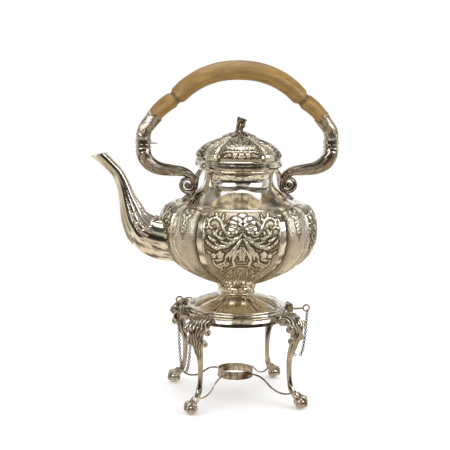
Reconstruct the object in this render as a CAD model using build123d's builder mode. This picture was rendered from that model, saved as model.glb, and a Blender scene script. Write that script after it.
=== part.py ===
"""Silver tea kettle on a spirit-lamp stand.

A melon-lobed kettle with an S-shaped spout, a hinged lid and a fixed arch handle stands on a
moulded ring. Two draw pins join the kettle to the ring. With the rear pin drawn, the kettle tips
about the front pin, on the spout's side, to pour. Four cabriole legs on claw and ball feet carry
the ring, and four wires hold the burner ring below it.

Millimetres, +Z up, the spout along -X. The origin is under the middle of the whole piece.
"""

import os
from math import acosh, cos, hypot, radians, sin

from build123d import *

os.makedirs("parts", exist_ok=True)

# ---------------------------------------------------------------- driving dimensions
SPOUT_REACH = 158.9  # kettle axis to the spout's lip
HANDLE_REACH = 112.4  # kettle axis to the outside of a handle collar
AXIS_X = (SPOUT_REACH - HANDLE_REACH) / 2  # the kettle's own axis, from the origin
HANDLE_TOP = 370.0

BODY_WALL = 1.3
NECK_WALL = 1.3
LID_WALL = 1.0
FOOT_WALL = 1.3
SPOUT_WALL = 1.1
LOBE_TURN_DEG = -9  # the front lobe faces a little toward the spout
GROOVE_DEPTH = 0.5
GROOVE_HALF = 0.5
WIDE_LOBE_HALF_DEG = 33.0  # each wide lobe spans twice this; the narrow lobes fill the rest

# outer curves of the turned parts, from the top down: (radius, height)
BODY_CORNER = (75.4, 211.8)
NECK_FOOT = (62.0, 218.6)
BODY_CURVE = [
    BODY_CORNER, (81.2, 204), (84.0, 193), (84.4, 183), (81.3, 171), (75.6, 161.4),
    (66.0, 152.2), (52.5, 143.2), (36.0, 134.4), (21.5, 128.8), (0, 127.4),
]
SHOULDER_CURVE = [NECK_FOOT, (69.5, 216.0), BODY_CORNER]
NECK_CURVE = [(39.6, 251.5), (37.2, 244), (38.9, 237), (43.6, 231), (51.4, 224.6), NECK_FOOT]
FOOT_CURVE = [
    (19.6, 118.2), (21.6, 115.6), (26.6, 113.2), (34.6, 110.8), (42.6, 108.2), (49.2, 105.0), (53.0, 101.6),
]
LID_CURVE = [
    (3.4, 292.2), (9.5, 290.9), (18.6, 287.2), (28.2, 282.9), (36.8, 278.7),
    (43.6, 272.6), (45.4, 268.2), (45.0, 264.3),
]

# mouth, lid and lid hinge
NECK_TOP = 251.5
RIM_TOP = 259.9
RIM_R = 47.4
LID_GAP = 0.2
LID_SEAT = RIM_TOP + LID_GAP
MOUTH_R = 38.3
BEZEL_R = 37.5
LID_HINGE_Y = 50.8
LID_HINGE_Z = 260.0
LID_KNUCKLE_R = 2.2
LID_PIN_R = 0.9
KNUCKLE_HALF = 3.8  # half the lid knuckle's length
RUNNING = 0.05  # radial clearance of every pin in its moving bore

# foot, stand ring and kettle hinge
FOOT_BOTTOM = 99.2
RING_TOP = 98.9
RING_BOTTOM = 90.0
RING_R = 57.0
RING_HOLE_R = 44.0
HINGE_X = 60.6  # kettle axis to a draw pin's axis
HINGE_Z = 101.0
EAR_R = 3.0
DRAW_PIN_R = 1.2
LUG_HALF = 3.0  # half the kettle lug's length along the pin
EAR_GAP = 0.4
EAR_THICK = 3.0
PIN_INNER_Y = LUG_HALF + EAR_GAP + EAR_THICK + 1.2
PIN_BEND_Y = -(LUG_HALF + EAR_GAP + EAR_THICK + 3.0)
PIN_DRAW = 11.2  # how far a pin draws out, toward -Y, to clear the kettle's lug
PIN_LOOP_R = 3.4
PIN_LOOP_WIRE_R = 0.62

# stand
FOOT_CIRCLE = 84.0
BALL_R = 6.7
BALL_Z = 6.3
BURNER_R = 19.4
BURNER_BORE_R = 18.2
BURNER_BOTTOM = 22.7
BURNER_TOP = 31.2
WIRE_R = 0.95

# handle
SOCKET_X = 104.0  # kettle axis to a collar's axis
COLLAR_BOTTOM = 276.0
COLLAR_TOP = 286.6
STRAP_HALF = 9.0

# chains
LINK_R = 1.38
LINK_WIRE_R = 0.27
LINK_PITCH = 2.18
LINK_HANG = 0.28  # how far an end link's centre hangs below the wire it is on
HANG_TURN = 20  # how far round its pin's loop a chain hangs, away from the pin's handle
ANCHOR_REACH = 60.2  # kettle axis to an anchor eye's centre
ANCHOR_Z = 95.4
EYE_R = 1.8
EYE_WIRE_R = 0.55

AXIS = Axis((AXIS_X, 0, 0), (0, 0, 1))
CENTRE = Plane(origin=(AXIS_X, 0, 0), z_dir=(0, 0, 1))
CORNERS = {"front_left": 225, "front_right": 315, "back_right": 45, "back_left": 135}


# ---------------------------------------------------------------- helpers
def radial_plane(angle):
    """The upright plane through the kettle's axis: x is the radius at this angle, y the height."""
    a = radians(angle)
    return Plane(origin=(AXIS_X, 0, 0), x_dir=(cos(a), sin(a), 0), z_dir=(sin(a), -cos(a), 0))


SIDE = radial_plane(0)


def inset(points, depth):
    """The points of a curve moved to the right of its direction of travel."""
    moved = []
    for i, (x, y) in enumerate(points):
        x0, y0 = points[max(i - 1, 0)]
        x1, y1 = points[min(i + 1, len(points) - 1)]
        run = hypot(x1 - x0, y1 - y0)
        moved.append((x + depth * (y1 - y0) / run, y - depth * (x1 - x0) / run))
    return moved


def wall_face(points, wall):
    """Face between a curve and the same curve moved in by the wall."""
    with BuildSketch() as sketch:
        with BuildLine():
            outer = Spline(*points)
            inner = Spline(*[(max(x, 0), y) for x, y in inset(points, wall)])
            Line(outer @ 0, inner @ 0)
            if outer @ 1 != inner @ 1:
                Line(outer @ 1, inner @ 1)
        make_face()
    return sketch.sketch_local


def filled_face(points):
    """Face between a curve and the axis."""
    top, bottom = points[0], points[-1]
    with BuildSketch() as sketch:
        with BuildLine():
            Spline(*points)
            Line(top, (0, top[1]))
            Line((0, top[1]), (0, bottom[1]))
            if bottom[0] > 0:
                Line((0, bottom[1]), bottom)
        make_face()
    return sketch.sketch_local


def groove_cutter(points):
    """The shallow fins that part the wide lobes from the narrow ones."""
    with BuildPart() as cutter:
        for quarter in range(4):
            for side in (-1, 1):
                with BuildSketch(radial_plane(LOBE_TURN_DEG + 90 * quarter + side * WIDE_LOBE_HALF_DEG)):
                    add(wall_face(inset(points, -1), 1 + GROOVE_DEPTH))
                extrude(amount=GROOVE_HALF, both=True)
    return cutter.part


def largest(part):
    """The largest solid of a part, without the slivers that a cut leaves inside its neighbour."""
    return Part([part.solids().sort_by(SortBy.VOLUME)[-1]])


def section_planes(stations, plane):
    """Planes square to a route of (x, y) points that lies in the given plane."""
    planes = []
    for i, (x, y, *_) in enumerate(stations):
        x0, y0 = stations[max(i - 1, 0)][:2]
        x1, y1 = stations[min(i + 1, len(stations) - 1)][:2]
        origin = plane.from_local_coords(Vector(x, y, 0))
        ahead = plane.from_local_coords(Vector(x + x1 - x0, y + y1 - y0, 0)) - origin
        planes.append(Plane(origin=origin, x_dir=plane.z_dir, z_dir=ahead))
    return planes


def oval_sections(stations, plane, thinner=0.0):
    """Ovals along a route. A station is (x, y, half in the plane, half across it)."""
    sections = []
    for place, (_, _, half, across) in zip(section_planes(stations, plane), stations):
        with BuildSketch(place) as section:
            Ellipse(across - thinner, half - thinner)
        sections.append(section.sketch)
    return sections


def hex_sections(stations, plane):
    """Six-sided sections along a route, with an arris along each side."""
    sections = []
    for place, (_, _, half, across) in zip(section_planes(stations, plane), stations):
        flat = 0.52 * across
        corners = [(across, 0), (flat, half), (-flat, half)]
        with BuildSketch(place) as section:
            Polygon(*corners, *[(-x, -y) for x, y in corners], align=None)
        sections.append(section.sketch)
    return sections


def hanging_points(top, far_top, bottom_z, steps=9):
    """One strand of a chain that hangs between two points, from its top down to its lowest point."""
    span = hypot(far_top[0] - top[0], far_top[1] - top[1])
    drop, far_drop = top[2] - bottom_z, far_top[2] - bottom_z
    low, high = 0.01, 50.0
    for _ in range(60):
        sag = (low + high) / 2
        width = sag * (acosh(1 + drop / sag) + acosh(1 + far_drop / sag))
        low, high = (sag, high) if width < span else (low, sag)
    reach = sag * acosh(1 + drop / sag)
    points = []
    for i in range(steps + 1):
        height = drop * (1 - i / steps) ** 2
        along = (reach - sag * acosh(1 + height / sag)) / span
        x = top[0] + along * (far_top[0] - top[0])
        y = top[1] + along * (far_top[1] - top[1])
        points.append((x, y, bottom_z + height))
    return points


def link_places(points):
    """Places of interlocked links along a route, each turned a quarter from the last."""
    with BuildLine():
        line = Spline(*points)
    places = []
    for i in range(int(line.length / LINK_PITCH)):
        at = i * LINK_PITCH / line.length
        ahead = line % at
        across = ahead.cross(Vector(0, 1, 0)).normalized()
        normal = across.cross(ahead) if i % 2 else across
        places.append(Plane(origin=line @ at, x_dir=ahead, z_dir=normal).location)
    return places


# ---------------------------------------------------------------- kettle body, neck and foot
with BuildPart(mode=Mode.PRIVATE) as body_form:
    with BuildSketch(SIDE):
        add(filled_face(BODY_CURVE))
    revolve(axis=AXIS)

with BuildPart() as kettle_body:
    with BuildSketch(SIDE):
        add(wall_face(BODY_CURVE, BODY_WALL))
    revolve(axis=AXIS)
    add(groove_cutter(BODY_CURVE[:-2]), mode=Mode.SUBTRACT)
    # strainer holes through the wall behind the spout
    strainer = Plane(origin=(AXIS_X - 88, 0, 178), x_dir=(0, 1, 0), z_dir=(-1, 0, 0))
    with BuildSketch(strainer):
        with PolarLocations(9, 8):
            Circle(1.8)
        Circle(1.8)
    extrude(amount=-20, mode=Mode.SUBTRACT)
kettle_body.part.label = "kettle_body"
export_step(kettle_body.part, "parts/kettle_body.step")

with BuildPart() as shoulder_band:
    with BuildSketch(SIDE):
        add(wall_face(SHOULDER_CURVE, BODY_WALL))
    revolve(axis=AXIS)
    # the inner edge is cut square where the neck's wall comes down
    add(kettle_body.part, mode=Mode.SUBTRACT)
shoulder_band.part.label = "shoulder_band"
export_step(shoulder_band.part, "parts/shoulder_band.step")

with BuildPart(mode=Mode.PRIVATE) as neck_form:
    with BuildSketch(SIDE):
        add(filled_face(NECK_CURVE))
    revolve(axis=AXIS)

with BuildPart() as kettle_neck:
    with BuildSketch(SIDE):
        add(wall_face(NECK_CURVE, NECK_WALL))
    revolve(axis=AXIS)
    add(shoulder_band.part, mode=Mode.SUBTRACT)
kettle_neck.part.label = "kettle_neck"
export_step(kettle_neck.part, "parts/kettle_neck.step")

with BuildPart() as mouth_rim:
    with BuildSketch(SIDE):
        with BuildLine():
            Polyline(
                (MOUTH_R, NECK_TOP), (40.6, NECK_TOP), (41.6, 252.3), (41.0, 253.3), (42.0, 254.2),
                (44.6, 255.6), (RIM_R, 257.8), (RIM_R, RIM_TOP), (MOUTH_R, RIM_TOP), close=True,
            )
        make_face()
    revolve(axis=AXIS)
    add(kettle_neck.part, mode=Mode.SUBTRACT)
mouth_rim.part.label = "mouth_rim"
export_step(mouth_rim.part, "parts/mouth_rim.step")

with BuildPart(mode=Mode.PRIVATE) as foot_form:
    with BuildSketch(SIDE):
        add(filled_face(FOOT_CURVE))
    revolve(axis=AXIS)

with BuildPart() as foot_stem:
    with BuildSketch(SIDE):
        with BuildLine():
            Polyline(
                (17.6, 117.0), (19.6, 118.2), (21.2, 119.0), (20.4, 120.2), (20.4, 123.6),
                (21.6, 125.4), (22.6, 129.6), (17.6, 129.6), close=True,
            )
        make_face()
    revolve(axis=AXIS)
    add(body_form.part, mode=Mode.SUBTRACT)
foot_stem.part.label = "foot_stem"
export_step(foot_stem.part, "parts/foot_stem.step")

with BuildPart() as kettle_foot:
    with BuildSketch(SIDE):
        add(wall_face(FOOT_CURVE, FOOT_WALL))
    revolve(axis=AXIS)
    add(groove_cutter(FOOT_CURVE), mode=Mode.SUBTRACT)
    add(foot_stem.part, mode=Mode.SUBTRACT)
kettle_foot.part.label = "kettle_foot"
export_step(kettle_foot.part, "parts/kettle_foot.step")

with BuildPart() as foot_rim:
    with BuildSketch(SIDE):
        with BuildLine():
            Polyline(
                (50.2, FOOT_BOTTOM), (54.0, FOOT_BOTTOM), (54.4, 100.2), (53.9, 101.0), (53.0, 101.6),
                (50.2, 101.6), close=True,
            )
        make_face()
    revolve(axis=AXIS)
    add(kettle_foot.part, mode=Mode.SUBTRACT)
foot_rim.part.label = "foot_rim"
export_step(foot_rim.part, "parts/foot_rim.step")

# lugs on the foot's rim that take the draw pins
for name, turn in (("front_lug", 180), ("rear_lug", 0)):
    with BuildPart() as lug:
        with BuildSketch(radial_plane(turn)):
            with Locations((HINGE_X, HINGE_Z)):
                Circle(EAR_R)
            with Locations(((HINGE_X + 51) / 2, HINGE_Z)):
                Rectangle(HINGE_X - 51, 2.6)
            with Locations((HINGE_X, HINGE_Z)):
                Circle(DRAW_PIN_R + RUNNING, mode=Mode.SUBTRACT)
        extrude(amount=LUG_HALF, both=True)
        add(foot_rim.part, mode=Mode.SUBTRACT)
        add(kettle_foot.part, mode=Mode.SUBTRACT)
    lug.part = largest(lug.part)
    lug.part.label = name
    export_step(lug.part, f"parts/{name}.step")

# ---------------------------------------------------------------- spout
# stations from the lip down to the body: x is the reach from the kettle's axis
SPOUT_UPPER = [
    (-157.5, 275.0, 7.4, 5.4), (-150.0, 268.6, 6.4, 5.4), (-141.0, 260.0, 6.0, 5.6),
    (-131.8, 250.0, 6.2, 6.0),
    (-125.9, 238.4, 6.9, 6.6), (-121.8, 226.0, 8.1, 7.8), (-117.2, 212.3, 11.3, 10.0),
    (-112.3, 199.6, 13.6, 12.4),
]
LIP = Plane(origin=(AXIS_X - SPOUT_REACH, 0, 267.5), z_dir=(-4.2, 0, 16.9))
SPOUT_ROOT = [
    (-112.3, 199.6, 13.6, 12.4), (-104.4, 188.9, 17.6, 15.6), (-93.4, 181.2, 21.2, 18.6),
    (-80.0, 177.6, 23.0, 20.4), (-64.0, 176.6, 24.0, 21.4),
]

with BuildPart() as spout_upper:
    loft(oval_sections(SPOUT_UPPER, SIDE))
    loft(oval_sections(SPOUT_UPPER, SIDE, SPOUT_WALL), mode=Mode.SUBTRACT)
    split(bisect_by=LIP, keep=Keep.BOTTOM)
spout_upper.part.label = "spout_upper"
export_step(spout_upper.part, "parts/spout_upper.step")

with BuildPart() as spout_root:
    loft(oval_sections(SPOUT_ROOT, SIDE))
    loft(oval_sections(SPOUT_ROOT, SIDE, SPOUT_WALL), mode=Mode.SUBTRACT)
    add(body_form.part, mode=Mode.SUBTRACT)
    add(spout_upper.part, mode=Mode.SUBTRACT)
spout_root.part = largest(spout_root.part)
spout_root.part.label = "spout_root"
export_step(spout_root.part, "parts/spout_root.step")

# ---------------------------------------------------------------- handle
ARM = [
    (SOCKET_X, COLLAR_BOTTOM, 8.0, 8.0), (SOCKET_X, 273.0, 8.0, 8.0),
    (102.0, 265.6, 7.9, 8.0), (96.0, 258.8, 7.6, 7.8),
    (86.0, 254.2, 6.9, 7.4), (72.0, 252.3, 6.2, 7.0), (60.0, 250.6, 5.4, 6.6),
    (51.6, 245.0, 4.7, 6.4), (48.0, 236.0, 3.9, 6.2), (49.0, 229.6, 3.0, 6.0),
]
SOCKET = [
    (SOCKET_X, COLLAR_TOP, 8.0, 8.0), (SOCKET_X, 289.0, 8.0, 8.0), (102.0, 296.4, 7.8, 7.8),
    (95.6, 305.0, 7.5, 7.6),
]
SCROLL_CENTRE = (55.6, 236.8)
# the grip's right half, from its end to the crown; the neck at (71, 329) is a carved notch
GRIP_HALF = [
    (95.6, 305.0, 7.2, 7.4), (88.6, 315.2, 8.1, 8.2), (79.4, 323.6, 8.2, 8.6), (71.4, 328.6, 7.5, 8.2),
    (65.6, 333.6, 9.4, 9.2), (56.0, 342.2, 9.9, 9.6), (41.6, 351.0, 10.1, 9.8),
    (24.0, 357.2, 10.4, 10.0), (8.0, HANDLE_TOP - 10.6, 10.5, 10.0),
]
STRAP_OUTER = [(43.5, 251), (47.5, 244), (48.6, 236), (51.0, 230.4), (55.5, 226.0), (60.5, 222.4)]

sockets = []
for name, turn in (("left", 180), ("right", 0)):
    side = radial_plane(turn)

    with BuildPart() as strap:
        with BuildSketch(side):
            with BuildLine():
                Spline(*STRAP_OUTER)
                Polyline(STRAP_OUTER[-1], (57, 219.6), (36, 236), (36, 251), STRAP_OUTER[0])
            make_face()
        extrude(amount=STRAP_HALF, both=True)
        add(neck_form.part, mode=Mode.SUBTRACT)
        add(shoulder_band.part, mode=Mode.SUBTRACT)
    strap.part = largest(strap.part)
    strap.part.label = f"handle_strap_{name}"
    export_step(strap.part, f"parts/handle_strap_{name}.step")

    with BuildPart() as arm:
        loft(oval_sections(ARM, side))
        add(strap.part, mode=Mode.SUBTRACT)
    arm.part.label = f"handle_arm_{name}"
    export_step(arm.part, f"parts/handle_arm_{name}.step")

    with BuildPart() as scroll:
        with BuildSketch(side):
            with Locations(SCROLL_CENTRE):
                Circle(7.4)
            SlotArc(CenterArc(SCROLL_CENTRE, 4.4, 200, 250), 1.5, mode=Mode.SUBTRACT)
        extrude(amount=6.0, both=True)
        add(arm.part, mode=Mode.SUBTRACT)
        add(strap.part, mode=Mode.SUBTRACT)
    scroll.part.label = f"handle_scroll_{name}"
    export_step(scroll.part, f"parts/handle_scroll_{name}.step")

    with BuildPart() as collar:
        with BuildSketch(side):
            with BuildLine():
                r = HANDLE_REACH - SOCKET_X
                Polyline(
                    (SOCKET_X, COLLAR_BOTTOM), (SOCKET_X + 7.8, COLLAR_BOTTOM),
                    (SOCKET_X + r, 277.0), (SOCKET_X + r, 278.2), (SOCKET_X + 7.5, 279.0),
                    (SOCKET_X + 7.5, 279.8), (SOCKET_X + r, 280.6), (SOCKET_X + r, 285.0),
                    (SOCKET_X + 7.7, 285.6), (SOCKET_X + 7.8, COLLAR_TOP), (SOCKET_X, COLLAR_TOP),
                    close=True,
                )
            make_face()
        revolve(axis=Axis(side.from_local_coords(Vector(SOCKET_X, 0, 0)), (0, 0, 1)))
    collar.part.label = f"handle_collar_{name}"
    export_step(collar.part, f"parts/handle_collar_{name}.step")

    with BuildPart() as socket:
        loft(oval_sections(SOCKET, side))
    socket.part.label = f"handle_socket_{name}"
    export_step(socket.part, f"parts/handle_socket_{name}.step")
    sockets.append(socket.part)

with BuildPart() as grip:
    loft(hex_sections(GRIP_HALF + [(-x, y, h, w) for x, y, h, w in reversed(GRIP_HALF)], SIDE), ruled=True)
    for socket in sockets:
        add(socket, mode=Mode.SUBTRACT)
grip.part.label = "handle_grip"
export_step(grip.part, "parts/handle_grip.step")

# ---------------------------------------------------------------- lid
with BuildPart() as lid_flange:
    with BuildSketch(SIDE):
        with BuildLine():
            Polyline(
                (MOUTH_R - 2.2, LID_SEAT), (RIM_R - 0.4, LID_SEAT), (RIM_R, 260.8), (RIM_R, 262.0),
                (46.2, 262.8), (46.8, 263.6), (46.2, 264.3), (MOUTH_R - 2.2, 264.3), close=True,
            )
        make_face()
    revolve(axis=AXIS)
lid_flange.part.label = "lid_flange"
export_step(lid_flange.part, "parts/lid_flange.step")

with BuildPart() as lid_bezel:
    with BuildSketch(SIDE):
        with Locations((BEZEL_R - 0.6, (253.6 + LID_SEAT) / 2)):
            Rectangle(1.2, LID_SEAT - 253.6)
    revolve(axis=AXIS)
lid_bezel.part.label = "lid_bezel"
export_step(lid_bezel.part, "parts/lid_bezel.step")

with BuildPart() as lid_dome:
    with BuildSketch(SIDE):
        add(wall_face(LID_CURVE, LID_WALL))
    revolve(axis=AXIS)
    add(groove_cutter(LID_CURVE[1:]), mode=Mode.SUBTRACT)
    add(lid_flange.part, mode=Mode.SUBTRACT)
lid_dome.part.label = "lid_dome"
export_step(lid_dome.part, "parts/lid_dome.step")

with BuildPart() as finial_calyx:
    with BuildSketch(SIDE):
        with BuildLine():
            Polyline(
                (1.6, 290.4), (3.0, 290.4), (9.6, 291.4), (8.4, 293.2), (4.6, 294.6), (1.6, 294.6),
                close=True,
            )
        make_face()
    revolve(axis=AXIS)
    add(lid_dome.part, mode=Mode.SUBTRACT)
finial_calyx.part.label = "finial_calyx"
export_step(finial_calyx.part, "parts/finial_calyx.step")

with BuildPart() as finial:
    with BuildSketch(SIDE):
        with BuildLine():
            Spline((3.4, 294.6), (5.0, 298.2), (5.4, 303.0), (4.6, 308.6))
            Polyline((4.6, 308.6), (0, 308.6), (0, 286.4), (1.5, 286.4), (1.5, 294.6), (3.4, 294.6))
        make_face()
    revolve(axis=AXIS)
finial.part.label = "finial"
export_step(finial.part, "parts/finial.step")

with BuildPart() as finial_nut:
    with BuildSketch(Plane(origin=(AXIS_X, 0, 286.6))):
        RegularPolygon(3.6, 6)
        Circle(1.55, mode=Mode.SUBTRACT)
    extrude(amount=3.0)
    add(lid_dome.part, mode=Mode.SUBTRACT)
finial_nut.part.label = "finial_nut"
export_step(finial_nut.part, "parts/finial_nut.step")

# the lid's hinge stands behind the mouth, its pin along X
BACK = Plane(origin=(AXIS_X, 0, 0), x_dir=(0, 1, 0), z_dir=(1, 0, 0))

with BuildPart() as lid_knuckle:
    with BuildSketch(BACK):
        with Locations((LID_HINGE_Y, LID_HINGE_Z)):
            Circle(LID_KNUCKLE_R)
        with Locations((48.2, 261.3)):
            Rectangle(5.2, 1.6)
        with Locations((LID_HINGE_Y, LID_HINGE_Z)):
            Circle(LID_PIN_R + RUNNING, mode=Mode.SUBTRACT)
    extrude(amount=KNUCKLE_HALF, both=True)
    add(lid_flange.part, mode=Mode.SUBTRACT)
lid_knuckle.part.label = "lid_knuckle"
export_step(lid_knuckle.part, "parts/lid_knuckle.step")

with BuildPart() as rim_knuckles:
    for side in (-1, 1):
        with BuildSketch(BACK.offset(side * (KNUCKLE_HALF + 0.2))):
            with Locations((LID_HINGE_Y, LID_HINGE_Z)):
                Circle(LID_KNUCKLE_R)
            with Locations((48.6, 258.5)):
                Rectangle(4.4, 2.2)
            with Locations((LID_HINGE_Y, LID_HINGE_Z)):
                Circle(LID_PIN_R, mode=Mode.SUBTRACT)
        extrude(amount=side * 4.6)
    add(mouth_rim.part, mode=Mode.SUBTRACT)
rim_knuckles.part.label = "rim_knuckles"
export_step(rim_knuckles.part, "parts/rim_knuckles.step")

with BuildPart() as lid_hinge_pin:
    with BuildSketch(BACK):
        with Locations((LID_HINGE_Y, LID_HINGE_Z)):
            Circle(LID_PIN_R)
    extrude(amount=KNUCKLE_HALF + 4.9, both=True)
lid_hinge_pin.part.label = "lid_hinge_pin"
export_step(lid_hinge_pin.part, "parts/lid_hinge_pin.step")

# ---------------------------------------------------------------- stand ring and ears
with BuildPart() as stand_ring:
    with BuildSketch(SIDE):
        with BuildLine():
            Polyline(
                (RING_HOLE_R, RING_TOP), (RING_R - 0.5, RING_TOP), (RING_R + 0.5, 98.2),
                (RING_R + 0.5, 97.2), (RING_R - 0.6, 96.6), (RING_R - 0.2, 95.6), (RING_R - 1, 94.8),
                (RING_R - 0.6, 94.0), (RING_R - 1.6, 93.2), (RING_R - 2.2, 94.0), (RING_R - 2.2, 97.4),
                (RING_HOLE_R, 97.4), close=True,
            )
        make_face()
    revolve(axis=AXIS)
stand_ring.part.label = "stand_ring"
export_step(stand_ring.part, "parts/stand_ring.step")

with BuildPart() as stand_apron:
    with BuildSketch(SIDE):
        with BuildLine():
            Polyline(
                (RING_R - 1.6, 93.2), (RING_R - 1.2, RING_BOTTOM), (RING_R - 2.6, RING_BOTTOM - 0.6),
                (RING_R - 3.4, RING_BOTTOM), (RING_R - 2.8, 93.6), close=True,
            )
        make_face()
    revolve(axis=AXIS)
    add(stand_ring.part, mode=Mode.SUBTRACT)
stand_apron.part.label = "stand_apron"
export_step(stand_apron.part, "parts/stand_apron.step")

for name, turn in (("front_ears", 180), ("rear_ears", 0)):
    with BuildPart() as ears:
        for side in (-1, 1):
            with BuildSketch(radial_plane(turn).offset(side * (LUG_HALF + EAR_GAP))):
                with Locations((HINGE_X, HINGE_Z)):
                    Circle(EAR_R)
                with Locations((HINGE_X, HINGE_Z - 3.2)):
                    Rectangle(2 * EAR_R, 6.4)
                with Locations((HINGE_X - 1.6, HINGE_Z - 5.4)):
                    Rectangle(6.4, 3.2)
                with Locations((HINGE_X, HINGE_Z)):
                    Circle(DRAW_PIN_R + RUNNING, mode=Mode.SUBTRACT)
            extrude(amount=side * EAR_THICK)
        add(stand_ring.part, mode=Mode.SUBTRACT)
    ears.part.label = name
    export_step(ears.part, f"parts/{name}.step")

# ---------------------------------------------------------------- legs, knees and feet
LEG = [
    (57.5, 90.5, 4.0, 5.0), (63.0, 92.5, 4.6, 5.6), (69.6, 91.8, 5.0, 6.2), (74.2, 86.4, 5.0, 6.0),
    (75.0, 78.0, 4.2, 5.2), (72.6, 68.6, 3.4, 4.0), (69.8, 58.0, 2.7, 3.0), (68.6, 46.0, 2.4, 2.5),
    (69.0, 33.0, 2.4, 2.4), (71.2, 22.0, 2.7, 2.6), (75.8, 14.8, 3.2, 3.2), (81.5, 11.6, 3.6, 4.0),
]
KNEE_LEAF = [
    (66.0, 99.0, 1.0, 3.0), (73.4, 97.6, 1.4, 8.0), (79.0, 92.0, 1.6, 10.6), (80.6, 83.0, 1.6, 11.0),
    (78.2, 73.4, 1.5, 9.0), (74.6, 64.6, 1.3, 5.6), (72.4, 59.6, 1.0, 2.4),
]
BURNER_WIRE = [(19.6, 27.0), (27.0, 27.2), (35.0, 25.0), (47.0, 16.6), (58.0, 12.6), (71.6, 14.6)]

with BuildPart() as burner_ring:
    with BuildSketch(CENTRE.offset(BURNER_BOTTOM)):
        Circle(BURNER_R)
        Circle(BURNER_BORE_R, mode=Mode.SUBTRACT)
    extrude(amount=BURNER_TOP - BURNER_BOTTOM)
    for height in (BURNER_BOTTOM, BURNER_TOP - 1.4):
        with BuildSketch(CENTRE.offset(height)):
            Circle(BURNER_R + 0.5)
            Circle(BURNER_BORE_R, mode=Mode.SUBTRACT)
        extrude(amount=1.4)
burner_ring.part.label = "burner_ring"
export_step(burner_ring.part, "parts/burner_ring.step")

for name, turn in CORNERS.items():
    corner = radial_plane(turn)

    with BuildPart() as ball:
        with Locations(corner.from_local_coords(Vector(FOOT_CIRCLE, BALL_Z, 0))):
            Sphere(BALL_R)
        # the worn flat that the foot stands on
        split(bisect_by=Plane.XY, keep=Keep.TOP)
    ball.part.label = f"foot_ball_{name}"
    export_step(ball.part, f"parts/foot_ball_{name}.step")

    with BuildPart() as leg:
        loft(oval_sections(LEG, corner))
        add(ball.part, mode=Mode.SUBTRACT)
        add(stand_apron.part, mode=Mode.SUBTRACT)
        add(stand_ring.part, mode=Mode.SUBTRACT)
    leg.part = largest(leg.part)
    leg.part.label = f"leg_{name}"
    export_step(leg.part, f"parts/leg_{name}.step")

    with BuildPart() as leaf:
        loft(oval_sections(KNEE_LEAF, corner))
        add(leg.part, mode=Mode.SUBTRACT)
    leaf.part = largest(leaf.part)
    leaf.part.label = f"knee_leaf_{name}"
    export_step(leaf.part, f"parts/knee_leaf_{name}.step")

    with BuildPart() as wire:
        with BuildLine(corner) as route:
            Spline(*BURNER_WIRE)
        with BuildSketch(Plane(origin=route.line @ 0, z_dir=route.line % 0)):
            Circle(WIRE_R)
        sweep(path=route.line)
        add(burner_ring.part, mode=Mode.SUBTRACT)
        add(leg.part, mode=Mode.SUBTRACT)
    wire.part = largest(wire.part)
    wire.part.label = f"burner_wire_{name}"
    export_step(wire.part, f"parts/burner_wire_{name}.step")

# ---------------------------------------------------------------- draw pins and their chains
# name, x of the shank, how far it stands drawn, loop centre (x, z), anchor angle, lowest chain point
PINS = [
    ("front", -HINGE_X, 0.0, (-65.4, 112.6), 205, 34.0),
    ("rear", HINGE_X, PIN_DRAW, (74.4, 101.6), -16, 46.0),
]
anchor_places = []

for name, shank_x, drawn, (loop_x, loop_z), anchor_turn, lowest in PINS:
    bend_y = PIN_BEND_Y - drawn
    handle_run = hypot(loop_x - shank_x, loop_z - HINGE_Z)
    handle_end = 1 - PIN_LOOP_R / handle_run
    with BuildPart() as draw_pin:
        with BuildLine() as route:
            FilletPolyline(
                (AXIS_X + shank_x, PIN_INNER_Y - drawn, HINGE_Z),
                (AXIS_X + shank_x, bend_y, HINGE_Z),
                (
                    AXIS_X + shank_x + handle_end * (loop_x - shank_x),
                    bend_y,
                    HINGE_Z + handle_end * (loop_z - HINGE_Z),
                ),
                radius=1.6,
            )
        with BuildSketch(Plane(origin=route.line @ 0, z_dir=route.line % 0)):
            Circle(DRAW_PIN_R)
        sweep(path=route.line)
        with Locations(Plane(origin=(AXIS_X + loop_x, bend_y, loop_z), z_dir=(0, 1, 0))):
            Torus(PIN_LOOP_R, PIN_LOOP_WIRE_R)
    draw_pin.part.label = f"{name}_pin"
    export_step(draw_pin.part, f"parts/{name}_pin.step")

    anchor = radial_plane(anchor_turn)
    anchor_places.append(anchor)
    outward = HANG_TURN if loop_x > 0 else -HANG_TURN
    pin_top = (
        AXIS_X + loop_x + PIN_LOOP_R * sin(radians(outward)),
        bend_y,
        loop_z - PIN_LOOP_R * cos(radians(outward)) - LINK_HANG,
    )
    eye = anchor.from_local_coords(Vector(ANCHOR_REACH, ANCHOR_Z - EYE_R - LINK_HANG, 0))
    eye_top = (eye.X, eye.Y, eye.Z)
    for part_name, strand_top, far_top in (
        (f"{name}_chain_pin_side", pin_top, eye_top),
        (f"{name}_chain_stand_side", eye_top, pin_top),
    ):
        with BuildPart() as strand:
            with Locations(*link_places(hanging_points(strand_top, far_top, lowest))):
                Torus(LINK_R, LINK_WIRE_R)
        strand.part.label = part_name
        export_step(strand.part, f"parts/{part_name}.step")

with BuildPart() as chain_anchors:
    for anchor in anchor_places:
        eye = anchor.from_local_coords(Vector(ANCHOR_REACH, ANCHOR_Z, 0))
        with Locations(Plane(origin=eye, z_dir=anchor.x_dir.cross(Vector(0, 0, 1)))):
            Torus(EYE_R, EYE_WIRE_R)
    add(stand_ring.part, mode=Mode.SUBTRACT)
chain_anchors.part.label = "chain_anchors"
export_step(chain_anchors.part, "parts/chain_anchors.step")
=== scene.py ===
"""The looks of the silver tea kettle on its lamp stand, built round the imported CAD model.

Lengths in the tables below are millimetres from the kettle's axis and the table it stands on.
"""

from math import cos, pi, radians, sin

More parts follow.
